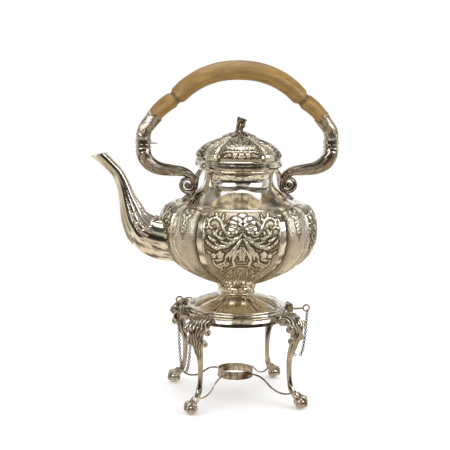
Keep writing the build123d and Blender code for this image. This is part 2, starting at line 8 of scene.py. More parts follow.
import bmesh
import bpy
import numpy as np
from mathutils import Matrix, Vector


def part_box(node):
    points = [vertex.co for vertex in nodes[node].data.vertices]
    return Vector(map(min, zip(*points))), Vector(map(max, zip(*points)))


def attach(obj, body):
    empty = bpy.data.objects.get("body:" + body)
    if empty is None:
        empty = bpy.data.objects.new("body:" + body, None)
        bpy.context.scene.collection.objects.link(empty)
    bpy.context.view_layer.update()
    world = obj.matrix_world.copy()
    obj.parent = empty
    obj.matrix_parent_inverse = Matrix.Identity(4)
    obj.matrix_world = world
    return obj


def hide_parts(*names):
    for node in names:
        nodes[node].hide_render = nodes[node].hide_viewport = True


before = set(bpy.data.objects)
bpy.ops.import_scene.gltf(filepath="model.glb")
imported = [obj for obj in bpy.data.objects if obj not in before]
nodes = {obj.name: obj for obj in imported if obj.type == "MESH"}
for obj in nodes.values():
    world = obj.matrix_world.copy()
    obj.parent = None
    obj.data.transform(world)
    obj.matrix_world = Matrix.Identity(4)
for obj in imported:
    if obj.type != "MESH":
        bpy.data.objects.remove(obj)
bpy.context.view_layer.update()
scene = bpy.context.scene

MM = 0.001
rim_low, rim_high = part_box("mouth_rim")
AXIS_X = (rim_low[0] + rim_high[0]) / 2 / MM
UP = np.array([0, 0, 1])
# the legs, and their directions from the axis in degrees
CORNERS = {"front_left": 225, "front_right": 315, "back_right": 45, "back_left": 135}


# ------- materials
class Net:
    """A small helper that adds shader nodes and links them."""

    def __init__(self, tree):
        self.tree = tree
        tree.nodes.clear()

    def add(self, kind, inputs=None, **settings):
        node = self.tree.nodes.new(f"ShaderNode{kind}")
        for key, value in settings.items():
            setattr(node, key, value)
        for key, value in (inputs or {}).items():
            if isinstance(value, bpy.types.NodeSocket):
                self.tree.links.new(value, node.inputs[key])
            else:
                node.inputs[key].default_value = value
        return node

    def noise(self, where, scale, detail=3, rough=0.55):
        inputs = {"Vector": where, "Scale": scale, "Detail": detail, "Roughness": rough}
        return self.add("TexNoise", inputs).outputs["Fac"]

    def ramp(self, fac, stops):
        """A linear ramp through (place, grey) or (place, (r, g, b)) stops."""
        node = self.add("ValToRGB", {"Fac": fac})
        while len(node.color_ramp.elements) < len(stops):
            node.color_ramp.elements.new(0.5)
        for element, (place, colour) in zip(node.color_ramp.elements, stops):
            element.position = place
            element.color = (*colour, 1) if isinstance(colour, tuple) else (colour, colour, colour, 1)
        return node.outputs["Color"]

    def math(self, operation, a, b, clamp=False):
        return self.add("Math", {0: a, 1: b}, operation=operation, use_clamp=clamp).outputs[0]

    def fit(self, value, low, high, to_low, to_high):
        inputs = {"Value": value, "From Min": low, "From Max": high, "To Min": to_low, "To Max": to_high}
        return self.add("MapRange", inputs).outputs["Result"]

    def blend(self, fac, a, b):
        """Mix of two colours, each a socket or an (r, g, b)."""
        node = self.add("Mix", {"Factor": fac}, data_type="RGBA")
        for socket, value in ((node.inputs[6], a), (node.inputs[7], b)):
            if isinstance(value, bpy.types.NodeSocket):
                self.tree.links.new(value, socket)
            else:
                socket.default_value = (*value, 1)
        return node.outputs[2]

    def bump(self, height, strength, distance, normal=None):
        inputs = {"Height": height, "Strength": strength, "Distance": distance}
        if normal:
            inputs["Normal"] = normal
        return self.add("Bump", inputs).outputs["Normal"]

    def surface(self, inputs):
        shader = self.add("BsdfPrincipled", inputs)
        self.add("OutputMaterial", {"Surface": shader.outputs["BSDF"]})


def new_material(name):
    material = bpy.data.materials.new(name)
    material.use_nodes = True
    net = Net(material.node_tree)
    where = net.add("TexCoord").outputs["Object"]
    return material, net, where


def silver(name, clean, tarnish, amount, shine, stipple=0, low=0):
    """Polished silver: tarnish in patches and low down, tarnish in the hollows and painted shade from the
    mesh's attribute, and fine wear in its gloss.
    """
    material, net, where = new_material(name)
    cloud = net.ramp(net.noise(where, 28, 4, 0.6), [(0.36, 0), (0.70, 1)])
    streak = net.ramp(net.noise(where, 150, 2), [(0.45, 0), (0.75, 1)])
    cavity = net.add("Attribute", attribute_name="cavity").outputs["Fac"]
    streaks = net.math("MULTIPLY", streak, amount * 0.45)
    patches = net.math("ADD", net.math("MULTIPLY", cloud, amount), streaks)
    height = net.add("SeparateXYZ", {"Vector": where}).outputs["Z"]
    low_down = net.ramp(height, [(0.090, 0.1 * low), (0.118, 0.1 * low), (0.130, low), (0.170, 0)])
    tarnish_and_shade = net.math("ADD", net.math("ADD", patches, low_down), net.math("MULTIPLY", cavity, 0.5), clamp=True)
    worn = net.blend(tarnish_and_shade, clean, tarnish)
    # near black where the attribute is high: tarnish in the hollows, and painted shade and painted dark
    # reflections where the relief adds them
    dark = net.ramp(cavity, [(0.28, 0), (0.85, 0.95)])
    colour = net.blend(dark, worn, tuple(0.16 * c for c in tarnish))
    wear = net.math("ADD", net.noise(where, 60, 5, 0.65), cavity)
    rough = net.fit(wear, 0.3, 1.6, shine, shine + 0.28)
    normal = net.bump(net.noise(where, 900, 2), 0.06, 0.3 * MM)
    if stipple:
        cells = net.add("TexVoronoi", {"Vector": where, "Scale": 900}).outputs["Distance"]
        matting = net.math("MULTIPLY", cells, net.ramp(cavity, [(0.1, 0), (0.35, 1)]))
        normal = net.bump(matting, stipple, 0.6 * MM, normal)
    net.surface({"Base Color": colour, "Metallic": 1, "Roughness": rough, "Normal": normal})
    return material


def boxwood(name):
    """The grip's tan wood: long soft grain, darker streaks and handling wear."""
    material, net, where = new_material(name)
    bent = net.add("Mapping", {"Vector": where, "Scale": (14, 90, 60)}).outputs["Vector"]
    grain = net.noise(bent, 3, 6, 0.62)
    patch = net.noise(where, 34, 3)
    base = net.ramp(
        grain, [(0.25, (0.155, 0.082, 0.018)), (0.5, (0.245, 0.142, 0.034)), (0.75, (0.335, 0.205, 0.060))]
    )
    tone = net.blend(net.ramp(patch, [(0.35, 0), (0.75, 0.55)]), base, (0.15, 0.078, 0.018))
    cavity = net.add("Attribute", attribute_name="cavity").outputs["Fac"]
    colour = net.blend(net.math("MULTIPLY", cavity, 0.8), tone, (0.075, 0.036, 0.009))
    rough = net.fit(patch, 0.3, 0.7, 0.32, 0.5)
    pores = net.bump(net.noise(bent, 16, 2), 0.25, 0.3 * MM)
    coat = {"Coat Weight": 0.15, "Coat Roughness": 0.3}
    net.surface({"Base Color": colour, "Roughness": rough, "Normal": pores, **coat})
    return material


WARM = (0.52, 0.385, 0.165)
BROWN = (0.30, 0.20, 0.10)
materials = {
    "silver": silver("polished_silver", (0.90, 0.875, 0.805), WARM, 0.30, 0.07, low=0.45),
    "chased_silver": silver("chased_silver", (0.90, 0.87, 0.79), WARM, 0.30, 0.10, stipple=0.5, low=0.42),
    "cast_silver": silver("cast_silver", (0.67, 0.62, 0.555), BROWN, 0.40, 0.11),
    "fitting_silver": silver("fitting_silver", (0.56, 0.53, 0.48), BROWN, 0.50, 0.16),
    "tarnished_silver": silver("tarnished_silver", (0.80, 0.72, 0.62), (0.16, 0.105, 0.06), 1.15, 0.12),
    "chain_silver": silver("chain_silver", (0.13, 0.115, 0.095), BROWN, 0.30, 0.30),
    "grip": boxwood("boxwood"),
}


# ------- mesh tools
ASKEW = (0.31, 0.17, 0.93)  # a direction that no rod runs along


def add_object(name, data):
    thing = bpy.data.objects.new(name, data)
    scene.collection.objects.link(thing)
    return thing


def clamp(value):
    return np.clip(value, 0, 1)


def bell(value, centre, width):
    """1 at the centre, falling to about a third at the width on each side."""
    return np.exp(-(((value - centre) / width) ** 2))


def full_turn(count):
    return np.linspace(0, 2 * pi, count, endpoint=False)


def headings(line):
    """Unit vectors along the points of a line."""
    run = np.gradient(line, axis=0)
    return run / np.linalg.norm(run, axis=1)[:, None]


def smooth(rows, steps):
    """A smooth curve through the rows, with that many steps between two of them."""
    points = np.array(rows, float)
    ends = np.vstack([2 * points[0] - points[1], points, 2 * points[-1] - points[-2]])
    t = np.linspace(0, 1, steps, endpoint=False)[:, None]
    runs = []
    for a, b, c, d in zip(ends, ends[1:], ends[2:], ends[3:]):
        square, cube = 2 * a - 5 * b + 4 * c - d, 3 * b - a - 3 * c + d
        runs.append(0.5 * (2 * b + (c - a) * t + square * t**2 + cube * t**3))
    return np.vstack([*runs, points[-1:]])


def even(rows, spacing):
    """The smooth curve through the rows in steps of about that spacing, and each step's distance along it."""
    dense = smooth(rows, 40)
    along = np.concatenate([[0], np.cumsum(np.linalg.norm(np.diff(dense[:, :2], axis=0), axis=1))])
    stations = np.linspace(0, along[-1], max(3, int(along[-1] / spacing) + 1))
    return np.stack([np.interp(stations, along, column) for column in dense.T], axis=1), stations


class Shape:
    """Collects surfaces, in millimetres from the kettle's axis, into one mesh."""

    def __init__(self):
        self.points, self.faces, self.cavity, self.count = [], [], [], 0

    def grid(self, points, along=False, cavity=None):
        """A sheet of (rows, columns, 3) points, closed round its columns, and along its rows or by ends."""
        rows, columns = points.shape[:2]
        index = np.arange(rows * columns).reshape(rows, columns) + self.count
        self.points.append(points.reshape(-1, 3))
        self.cavity.append(np.zeros(rows * columns) if cavity is None else clamp(cavity).reshape(-1))
        if not along:
            self.faces.extend([index[0, ::-1].tolist(), index[-1].tolist()])
        index = np.hstack([index, index[:, :1]])
        if along:
            index = np.vstack([index, index[:1]])
        quads = np.stack([index[:-1, :-1], index[:-1, 1:], index[1:, 1:], index[1:, :-1]], -1)
        self.faces.extend(quads.reshape(-1, 4).tolist())
        self.count += rows * columns
        return self

    def tube(self, path, radii, sides, steps):
        """A round rod through the path's points, its ends closed."""
        line = smooth(np.column_stack([np.array(path, float), np.broadcast_to(radii, len(path))]), steps)
        centre, radius = line[:, :3], np.maximum(line[:, 3], 0.05)
        run = headings(centre)
        side = np.cross(run, np.array(ASKEW))
        side /= np.linalg.norm(side, axis=1)[:, None]
        up = np.cross(run, side)
        turn = full_turn(sides)
        ring = np.cos(turn)[None, :, None] * side[:, None] + np.sin(turn)[None, :, None] * up[:, None]
        return self.grid(centre[:, None] + ring * radius[:, None, None])

    def make(self, name, body, finish, *replaced, sharp=50, shift=True):
        """The piece that rides on a body, in place of the CAD nodes that it replaces."""
        points = np.vstack(self.points)
        if shift:
            points = points + np.array([AXIS_X, 0, 0])
        mesh = bpy.data.meshes.new(name)
        mesh.from_pydata((points * MM).tolist(), [], self.faces)
        mesh.attributes.new("cavity", "FLOAT", "POINT").data.foreach_set("value", np.concatenate(self.cavity))
        mesh.validate()
        face_outward(mesh)
        mesh.shade_smooth()
        mesh.set_sharp_from_angle(angle=radians(sharp))
        mesh.materials.append(materials[finish])
        piece = add_object(name, mesh)
        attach(piece, body)
        if replaced:
            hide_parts(*replaced)
        return piece


def face_outward(mesh):
    work = bmesh.new()
    work.from_mesh(mesh)
    bmesh.ops.recalc_face_normals(work, faces=work.faces)
    work.to_mesh(mesh)
    work.free()


def upright(angle):
    """Unit vectors outward and to the left of a vertical plane through the axis at that angle."""
    turn = radians(angle)
    return np.array([cos(turn), sin(turn), 0]), np.array([-sin(turn), cos(turn), 0])


def swept(rows, angle, relief=None, sides=48, spacing=0.8, power=2, trim=None):
    """Points, and their tarnish and painted shade, of rows (distance out, height, half depth, half width)
    swept in an upright plane.

    relief(turn, along, length, row) gives millimetres outward and an amount of tarnish and painted shade, and
    trim(turn) the part of the length that each column runs to.
    """
    line, along = even(rows, spacing)
    out, across = upright(angle)
    run = headings(line[:, :2])
    turn = full_turn(sides)[None]
    place = along[:, None] * (np.ones_like(turn) if trim is None else trim(turn))
    at = [np.interp(place, along, column) for column in (*line.T, *run.T)]
    r, z, half, wide, run_r, run_z = at
    c, s = np.cos(turn), np.sin(turn)
    reach = (np.abs(c) ** power + np.abs(s) ** power) ** (-1 / power)
    height, cavity = (0, np.zeros_like(place)) if relief is None else relief(turn, place, along[-1], at)
    deep = (half * reach + height) * c
    side = (wide * reach + height) * s
    flat = (r - run_z * deep)[..., None] * out + (z + run_r * deep)[..., None] * UP
    return flat + side[..., None] * across, cavity


def sweep(shape, rows, angle, *more, **settings):
    """Adds the rod that swept() works out to the shape, with two ends."""
    points, cavity = swept(rows, angle, *more, **settings)
    return shape.grid(points, cavity=cavity)


def plate(shape, rows, angle, ribs, rise, scallops, bite, wrap=0, columns=33, spacing=0.7):
    """A ribbed leaf of (distance out, height, thickness, half width) rows, its edges scalloped and bent."""
    line, along = even(rows, spacing)
    out, across = upright(angle)
    run = headings(line[:, :2])
    t = np.linspace(-1, 1, columns)[None]
    part = (along / along[-1])[:, None]
    edge = 1 - bite * np.abs(np.cos(scallops * pi * part))
    wide = line[:, 3:4] * edge * t
    body = 0.5 + 0.5 * np.cos(2 * pi * ribs * t * (1 - 0.25 * part) + pi * (ribs % 1))
    chevron = 0.5 + 0.5 * np.cos(2 * pi * (scallops * part - 0.9 * np.abs(t)))
    fall = clamp(1 - np.abs(t) ** 6)
    height = (rise * body**0.7 + 0.35 * rise * chevron * np.abs(t)) * fall - wrap * t**2
    cavity = clamp(1.1 * (1 - body) ** 3 + 0.25 * (1 - fall)) + 0 * part

    def at(offset):
        flat = (line[:, :1] - run[:, 1:2] * offset)[..., None] * out
        return flat + (line[:, 1:2] + run[:, :1] * offset)[..., None] * UP + wide[..., None] * across

    back = -line[:, 2:3] - wrap * t**2 + 0 * height
    ring = np.concatenate([at(height), at(back)[:, ::-1]], axis=1)
    return shape.grid(ring, cavity=np.concatenate([cavity, 0 * cavity + 0.3], axis=1))


def spiral(centre, radius, start, turns, shrink, count):
    """Points that wind in from a rim, each with the part of the way that it is along."""
    for k in range(count + 1):
        part = k / count
        turn = radians(start) + turns * 2 * pi * part
        r = radius * (1 - shrink * part)
        yield part, (centre[0] + r * cos(turn), centre[1] + r * sin(turn))


def volute(shape, centre, radius, start, turns, angle, thick, wide, shift):
    """A scroll in the upright plane at that angle: a flat band that winds in to a round eye."""
    winding = spiral(centre, radius, start, turns, 0.72, int(abs(turns) * 12))
    rows = [(*place, thick * (1 - 0.45 * part), wide) for part, place in winding]
    points, cavity = swept(rows, angle, sides=14, spacing=0.6, power=3)
    out, across = upright(angle)
    shape.grid(points + across * shift, cavity=cavity)
    hub = centre[0] * out + np.array([0, 0, centre[1]]) + across * shift
    ends = [hub + across * w * wide for w in (-1.16, -1.12, -0.9, 0.9, 1.12, 1.16)]
    shape.tube(ends, [v * radius for v in (0.05, 0.22, 0.30, 0.30, 0.22, 0.05)], 14, 2)


# ------- chasing
class Chasing:
    """Ornament drawn on a flat sheet, in millimetres, and read back as a height at any place.

    Strokes are mirrored about the sheet's middle, where x is 0.
    """

    STEP = 0.3
    PETALS = 5
    SHELL_RIBS, SHELL_HEIGHT = 7, 1.9
    GROUND, OUTLINE, GROOVE = 0.46, 0.62, 0.7  # how deep a cavity each is
    OUTLINE_DEPTH = 0.35

    def __init__(self, half_width, low, high):
        self.left, self.low = -half_width, low
        self.shape = (int((high - low) / self.STEP) + 2, int(2 * half_width / self.STEP) + 2)
        self.raised, self.sunk = np.zeros(self.shape), np.zeros(self.shape)

    def stamp(self, x, y, radius, height):
        """A round mound, or a hollow where the height is negative."""
        column, row = (x - self.left) / self.STEP, (y - self.low) / self.STEP
        reach = radius / self.STEP
        r0, r1 = max(0, int(row - reach)), min(self.shape[0], int(row + reach) + 2)
        c0, c1 = max(0, int(column - reach)), min(self.shape[1], int(column + reach) + 2)
        if r0 >= r1 or c0 >= c1:
            return
        grid_r, grid_c = np.mgrid[r0:r1, c0:c1]
        away = ((grid_r - row) ** 2 + (grid_c - column) ** 2) / max(reach, 0.6) ** 2
        mound = np.abs(height) * np.sqrt(clamp(1 - away))
        target = self.raised if height > 0 else self.sunk
        target[r0:r1, c0:c1] = np.maximum(target[r0:r1, c0:c1], mound)

    def stroke(self, points, widths, height=0.9):
        """A rounded ridge, or a groove where the height is negative, through the points."""
        line = smooth(np.column_stack([np.array(points, float), np.broadcast_to(widths, len(points))]), 12)
        for a, b in zip(line, line[1:]):
            for k in np.arange(0, 1, 0.4 * self.STEP / max(np.hypot(*(b - a)[:2]), self.STEP)):
                x, y, w = a + (b - a) * k
                self.stamp(x, y, max(w, 0.2) / 2, height)
                self.stamp(-x, y, max(w, 0.2) / 2, height)

    def scroll(self, x, y, radius, start, turns, width, height):
        """A spiral that starts on its rim at that angle and winds in to its eye."""
        winding = spiral((x, y), radius, start, turns, 0.82, int(abs(turns) * 10) + 2)
        points = [place for _, place in winding]
        self.stroke(points, np.linspace(width, width * 0.55, len(points)), height)
        self.stroke([points[-1], (x, y), (x + 0.01, y + 0.01)], width * 0.9, height * 1.2)

    def leaf(self, x, y, angle, length, width, bend=0, height=1):
        """A pointed leaf with a sunk vein, from its stalk along an angle, bending by so many degrees."""
        points = []
        for k in range(6):
            turn = radians(angle + bend * k / 5)
            points.append((x, y))
            x, y = x + length / 5 * cos(turn), y + length / 5 * sin(turn)
        widths = [width * w for w in (0.35, 0.8, 1, 0.85, 0.5, 0.12)]
        self.stroke(points, widths, height)
        self.stroke(points[:5], 0.7, -0.5 * height)

    def shell(self, x, y, radius):
        """A scallop fanned upward from its hinge, its edge lobed."""
        rows, columns = np.mgrid[: self.shape[0], : self.shape[1]]
        across, up = columns * self.STEP + self.left - x, rows * self.STEP + self.low - y
        far, turn = np.hypot(across, up), np.arctan2(across, up)
        flute = np.abs(np.cos(self.SHELL_RIBS * turn / 2))
        part = far / (radius * (0.80 + 0.20 * np.sqrt(flute)))
        fan = (part < 1) * (np.abs(turn) < 1.9)
        dome = self.SHELL_HEIGHT * np.sqrt(clamp(1 - part**6))
        mound = dome * (0.35 + 0.65 * flute**0.8) * np.clip(2.4 * part, 0.5, 1)
        groove = 0.9 * clamp(1 - flute / 0.32) * clamp(4 * part - 1)
        self.raised = np.where(fan, mound, self.raised)
        self.sunk = np.where(fan, groove, self.sunk)

    def flower(self, x, y, radius):
        """Round petals about a raised heart with a sunk middle."""
        for k in range(self.PETALS):
            turn = 2 * pi * k / self.PETALS + 0.3
            far = (x + radius * 0.62 * cos(turn), y + radius * 0.62 * sin(turn))
            widths = [radius * 0.3, radius * 0.85, radius * 0.85]
            self.stroke([(x, y), far, (far[0] + 0.01, far[1])], widths, 0.9)
        heart = [(x, y), (x + 0.01, y), (x + 0.02, y)]
        self.stroke(heart, radius * 0.55, 1.25)
        self.stroke(heart, radius * 0.2, -0.5)

    def read(self, x, y):
        """Height and cavity at those places: bare ground, outlines and grooves are ever deeper cavities."""
        raised, sunk = soften(self.raised), soften(self.sunk)
        height = raised - sunk
        column = np.clip((x - self.left) / self.STEP, 0, self.shape[1] - 1.01)
        row = np.clip((y - self.low) / self.STEP, 0, self.shape[0] - 1.01)
        c, r = column.astype(int), row.astype(int)
        fc, fr = column - c, row - r

        def at(sheet):
            return (sheet[r, c] * (1 - fc) + sheet[r, c + 1] * fc) * (1 - fr) + (
                sheet[r + 1, c] * (1 - fc) + sheet[r + 1, c + 1] * fc) * fr

        near = clamp(raised * 3)
        for _ in range(3):
            near = spread(near)
        outline = clamp(near - clamp(raised * 2.2))
        cavity = self.GROUND * clamp(1 - 2 * raised) + self.OUTLINE * outline + self.GROOVE * sunk
        return at(height - self.OUTLINE_DEPTH * outline), clamp(at(cavity))


def spread(sheet):
    """Each cell takes the highest value of its neighbours."""
    wide = np.pad(sheet, 1, mode="edge")
    wide = np.maximum(np.maximum(wide[:-2], wide[2:]), wide[1:-1])
    return np.maximum(np.maximum(wide[:, :-2], wide[:, 2:]), wide[:, 1:-1])


def soften(sheet):
    """Each cell takes a share of its neighbours."""
    wide = np.pad(sheet, 1, mode="edge")
    wide = (wide[:-2] + 2 * wide[1:-1] + wide[2:]) / 4
    return (wide[:, :-2] + 2 * wide[:, 1:-1] + wide[:, 2:]) / 4


# in degrees: how far the wide lobes are turned, and half the angle that each takes up
LOBE_TURN, SEAM = -9, 32
FOOT_TURN, FOOT_SEAM = -13, 28


def lobes(turn, shift=LOBE_TURN, seam=SEAM):
    """For angles in degrees: the place in a wide lobe and in a narrow one, and where the wide ones are."""
    place = (turn - shift + 45) % 90 - 45
    narrow = np.where(place > 0, place - 45, place + 45)
    return place, narrow, np.abs(place) < seam


def lobe_height(place, narrow, is_wide, wide_rise, narrow_rise, sunk, seam_width, seam=SEAM):
    """Millimetres that the lobes stand above the turned form, and how deep in a seam each place is."""
    wide_shape = 1 - np.abs(place / seam) ** 3.2
    narrow_shape = 1 - np.abs(narrow / (45 - seam)) ** 2.4
    rise = np.where(is_wide, wide_rise * wide_shape, narrow_rise * narrow_shape)
    gap = bell(np.abs(place), seam, seam_width)
    return rise - sunk * gap, gap


def turned(outer, relief, inner, count, spacing=0.95):
    """A turned shell: the outer profile with relief on it, closed by a plain inner profile."""
    profile, along = even(outer, spacing)
    run = headings(profile)
    normal = np.stack([-run[:, 1], run[:, 0]], axis=1)
    if np.mean(normal[:, 0]) < 0:
        normal = -normal
    turn = np.linspace(0, 360, count, endpoint=False)[None]
    height, cavity = relief(turn, profile[:, :1], profile[:, 1:2], along[:, None] / along[-1])
    radius = profile[:, :1] + normal[:, :1] * height
    z = profile[:, 1:2] + normal[:, 1:2] * height
    inside = np.array(inner, float)
    radius = np.vstack([radius, np.repeat(inside[:, :1], count, axis=1)])
    z = np.vstack([z, np.repeat(inside[:, 1:2], count, axis=1)])
    cavity = np.vstack([cavity, np.full((len(inside), count), 0.1)])
    angle = np.radians(turn)
    points = np.stack([radius * np.cos(angle), radius * np.sin(angle), z], axis=-1)
    return Shape().grid(points, along=True, cavity=cavity)


# ------- the kettle's body
def body_panel():
    """The wide panel: shell, curling leaves and a plume above, a leafy cartouche and flowers below."""
    art = Chasing(50, 120, 214)
    art.scroll(7.2, 189, 4, 90, -1.1, 2, 1.5)
    art.stroke([(0.6, 186), (3.4, 182.4), (8.6, 181.6)], [1.2, 1.7, 0.9], 1.1)
    # a curling leaf on each side of the shell, and the sprays round it
    curl = [(8.4, 186.6), (15.4, 186), (20.4, 190), (22.6, 197), (28, 201.6), (34, 200.2),
            (36.4, 194.8), (33.4, 190.8), (29.6, 192.6)]
    art.stroke(curl, [1, 1.8, 2.4, 2.6, 2.6, 2.4, 2, 1.5, 1.2], 1.5)
    for x, z, lean, length, bend in (
        (19.4, 192.6, 118, 8.4, 24), (21.8, 198.6, 98, 8, 20), (27, 202.4, 66, 7.4, 26),
        (35.4, 198.4, 30, 6.4, 30), (36.8, 191.8, -24, 6.6, 34), (14.6, 186.8, 140, 6, 30),
        (26.4, 190, -60, 7.6, -34), (31.2, 188.4, -96, 7.2, -30), (22, 187.8, -52, 6.8, -32),
        (41, 186.4, -84, 8, -20),
    ):
        art.leaf(x, z, lean, length, 2.7, bend, 1.3)
    # a plume of leaves swept out from the crossing
    for x, z, lean, length, bend in (
        (3, 181.4, -22, 16, 62), (7.4, 177.6, -24, 18, 66), (13.4, 173.4, -20, 18, 70),
        (21.6, 170.6, -12, 17, 72), (9.6, 184.4, -6, 11, 58), (18.6, 180.4, -4, 12, 64),
        (27.8, 177.4, 6, 11, 60), (33, 172.4, 20, 9, 60),
    ):
        art.leaf(x, z, lean, length, 3, bend, 1.4)
    # the cartouche, and the beaded fruit in it
    for leaf in (
        (1.2, 180, -52, 14, 3, -14, 1.4), (5, 172.4, -34, 17, 4.4, -62, 1.5),
        (4, 168.6, -48, 15, 4, -40, 1.3), (11.4, 166.4, -22, 11, 3.2, -70, 1.2),
        (9, 157.6, -110, 9, 3, 50, 1.2),
    ):
        art.leaf(*leaf)
    art.scroll(15.8, 154.6, 3.4, 60, -1.1, 1.6, 1.2)
    for row in range(8):
        for column in range(3):
            across = 1.9 * (column + 0.5 * (row % 2))
            if across < 4.4 - 0.07 * (row - 3) ** 2:
                art.stamp(across, 171 - 1.8 * row, 0.85, 1.2)
                art.stamp(-across, 171 - 1.8 * row, 0.85, 1.2)
    # flowers and leaves beside it
    art.flower(23.4, 163.6, 3.8)
    art.flower(30.4, 162.2, 2.8)
    art.leaf(20.4, 159.4, -24, 10.4, 2.8, 34)
    art.leaf(19.8, 155.6, -40, 9.4, 2.6, 40)
    art.leaf(33.2, 164.4, 10, 6.4, 2.2, 44)
    art.stroke([(18.4, 152.4), (24.4, 150.4), (29.4, 153.4), (31.6, 158)], [1.4, 1.8, 1.6, 0.8], 1)
    art.scroll(21.4, 148.6, 2.8, 80, -1, 1.3, 1)
    # the leaves that rise from the stem
    art.stroke([(0, 153), (8, 152.2), (14.4, 149.4), (17, 145)], [0.9, 0.9, 0.9, 0.5], 0.8)
    for x, lean, length in ((0, 90, 17), (4.6, 80, 16), (9.2, 68, 15), (13.4, 56, 14)):
        art.leaf(x * 0.9, 130, lean, length, 4, -8, 1.1)
    art.stroke([(5.4, 150.4), (6.6, 147.4), (6, 145)], [0.8, 1.4, 0.7], 0.9)
    art.shell(0, 191.4, 15.6)
    return art


def narrow_panel():
    """The narrow lobe's drop of leaves, with a small flower above it."""
    art = Chasing(18, 120, 214)
    art.flower(0, 201.4, 3.6)
    art.leaf(2.4, 199.6, 44, 7.6, 2.6, 26)
    art.leaf(2.6, 203.6, 64, 5.4, 2, 30)
    for z, length, width in ((196.4, 6.2, 2.6), (191.8, 5.4, 2.3), (187.6, 4.6, 2), (183.8, 3.6, 1.7)):
        art.leaf(0.5, z + 1, -34, length, width, -44)
    art.stroke([(0, 199), (0, 190), (0, 181), (0, 176)], [1.2, 1.1, 0.9, 0.5], 0.9)
    art.leaf(0, 132, 90, 12, 3.2, 0)
    art.leaf(1.6, 131, 70, 11, 2.6, -10)
    return art


# turned profiles: (radius, height)
BODY_PROFILE = [
    (20.4, 128.4), (28, 131), (36, 134.4), (44.6, 138.8), (52.5, 143.2), (59.6, 147.6), (66, 152.2),
    (75.6, 161.4), (81.3, 171), (84.2, 182), (84.2, 192), (82.8, 200), (80.6, 206), (77.2, 211.2),
    (72.2, 215), (67, 217.4), (63.4, 218.2),
]
BODY_INSIDE = [
    (63.2, 217.4), (69.4, 214.6), (74, 211.4), (80, 203.4), (82.6, 193), (83, 183), (80, 171.6),
    (74.7, 162.4), (65.2, 153.4), (51.9, 144.5), (35.5, 135.7), (21, 130.1), (0.05, 128.7), (0.05, 127.4),
    (18, 128),
]
# heights on the body, and where the drawing of its panel has them: it is drawn as seen from a little above
BODY_HEIGHTS = (128.8, 143.2, 161.4, 183, 204, 217)
DRAWN_HEIGHTS = (130.2, 138.5, 152.5, 173.3, 195.7, 211.1)
WIDE_ART, NARROW_ART = body_panel(), narrow_panel()


def body_relief(turn, radius, z, _):
    """Lobes, the chasing in them, a raised line inside each wide panel and a step where the panels end."""
    place, narrow, is_wide = spot = lobes(turn)
    fade = clamp((z - 129) / 16) ** 0.7
    top = clamp((radius - 62) / 5) + (z < 205)
    rise, seam = lobe_height(*spot, 2.3, 2.3, 2.5, 2.9)
    up = np.interp(z, BODY_HEIGHTS, DRAWN_HEIGHTS) + 0 * turn
    wide_h, wide_c = WIDE_ART.read(1.07 * radius * np.sin(np.radians(place)), up)
    thin_h, thin_c = NARROW_ART.read(radius * np.sin(np.radians(narrow)), up)
    inside = (np.abs(place) < 27.8) & (up < 207.6)
    chased = np.where(is_wide, wide_h * inside, thin_h)
    # tarnish in the hollows, weaker towards the bottom, and a painted dark reflection in a band across the
    # wide panels about 184 mm up
    cavity = np.where(is_wide, wide_c * inside, thin_c * 0.8) * (0.6 + 0.4 * clamp((z - 148) / 20))
    cavity = cavity + 0.2 * inside * is_wide * bell(z, 184, 15)
    line = 0.7 * bell(np.abs(place), SEAM - 3.6, 0.5) * (z > 133) * (z < 210)
    shelf = bell(up, 208.4, 0.7)
    height = (rise - 0.7) * fade * clamp(top) + 0.95 * chased * fade**0.4 + line - 0.45 * shelf
    return height, clamp(cavity + seam * 0.85 + 0.5 * shelf)


body = turned(BODY_PROFILE, body_relief, BODY_INSIDE, 720)
body.make("kettle_body_chased", "kettle", "chased_silver", "kettle_body")


# ------- lid, foot and finial
LID_PROFILE = [
    (3.2, 292.2), (9.5, 290.9), (18.6, 287.2), (28.2, 282.9), (36.8, 278.7), (43.6, 272.6), (45.3, 268.2),
    (45, 264.4),
]
LID_INSIDE = [
    (44, 264.4), (44.3, 268), (42.6, 272), (36.2, 277.6), (27.8, 281.8), (18.2, 286.1), (9.3, 289.8),
    (3.2, 291),
]
FOOT_PROFILE = [
    (19.8, 118.2), (21.8, 115.6), (26.6, 113.2), (34.6, 110.8), (42.6, 108.4), (49, 105.9), (51.4, 105.2),
    (53.6, 104.9), (54.3, 103.8), (53.6, 102.4), (53.4, 101.7),
]
FOOT_INSIDE = [
    (51.6, 101.7), (49, 103.6), (42.2, 106.8), (34.2, 109.4), (26.1, 111.9), (20.6, 114.8), (18.6, 117.4),
]
# how far down its sheet each drawing is read from the profile's start to its end
LID_ARC, FOOT_ARC = 54, 42


def lid_panel():
    """The lid's wide panel, from its crown at 0 down to its edge: a rising palm, scrolls and flowers."""
    art = Chasing(30, -2, 58)
    art.leaf(0, 40, -90, 26, 5)
    for x, lean, length in ((2.4, -78, 20), (5.2, -66, 15), (8.6, -52, 11)):
        art.leaf(x, 40, lean, length, 3.6, 22)
    art.scroll(14.6, 36.4, 4.8, 200, 1.3, 1.7, 1.1)
    art.leaf(10.6, 28.4, -60, 9, 2.8, 30)
    art.leaf(18.8, 40.6, -40, 7, 2.6, -30)
    art.stroke([(0, 42.4), (6.4, 43.4), (12.4, 42.6), (18.4, 43.4)], [1.6, 1.6, 1.4, 0.9], 1)
    art.flower(6.6, 47.6, 3)
    art.flower(0, 48.2, 3.4)
    art.leaf(10.4, 48.4, -12, 8.6, 3, 24)
    art.leaf(10.4, 46.2, 18, 9, 2.6, 20)
    return art


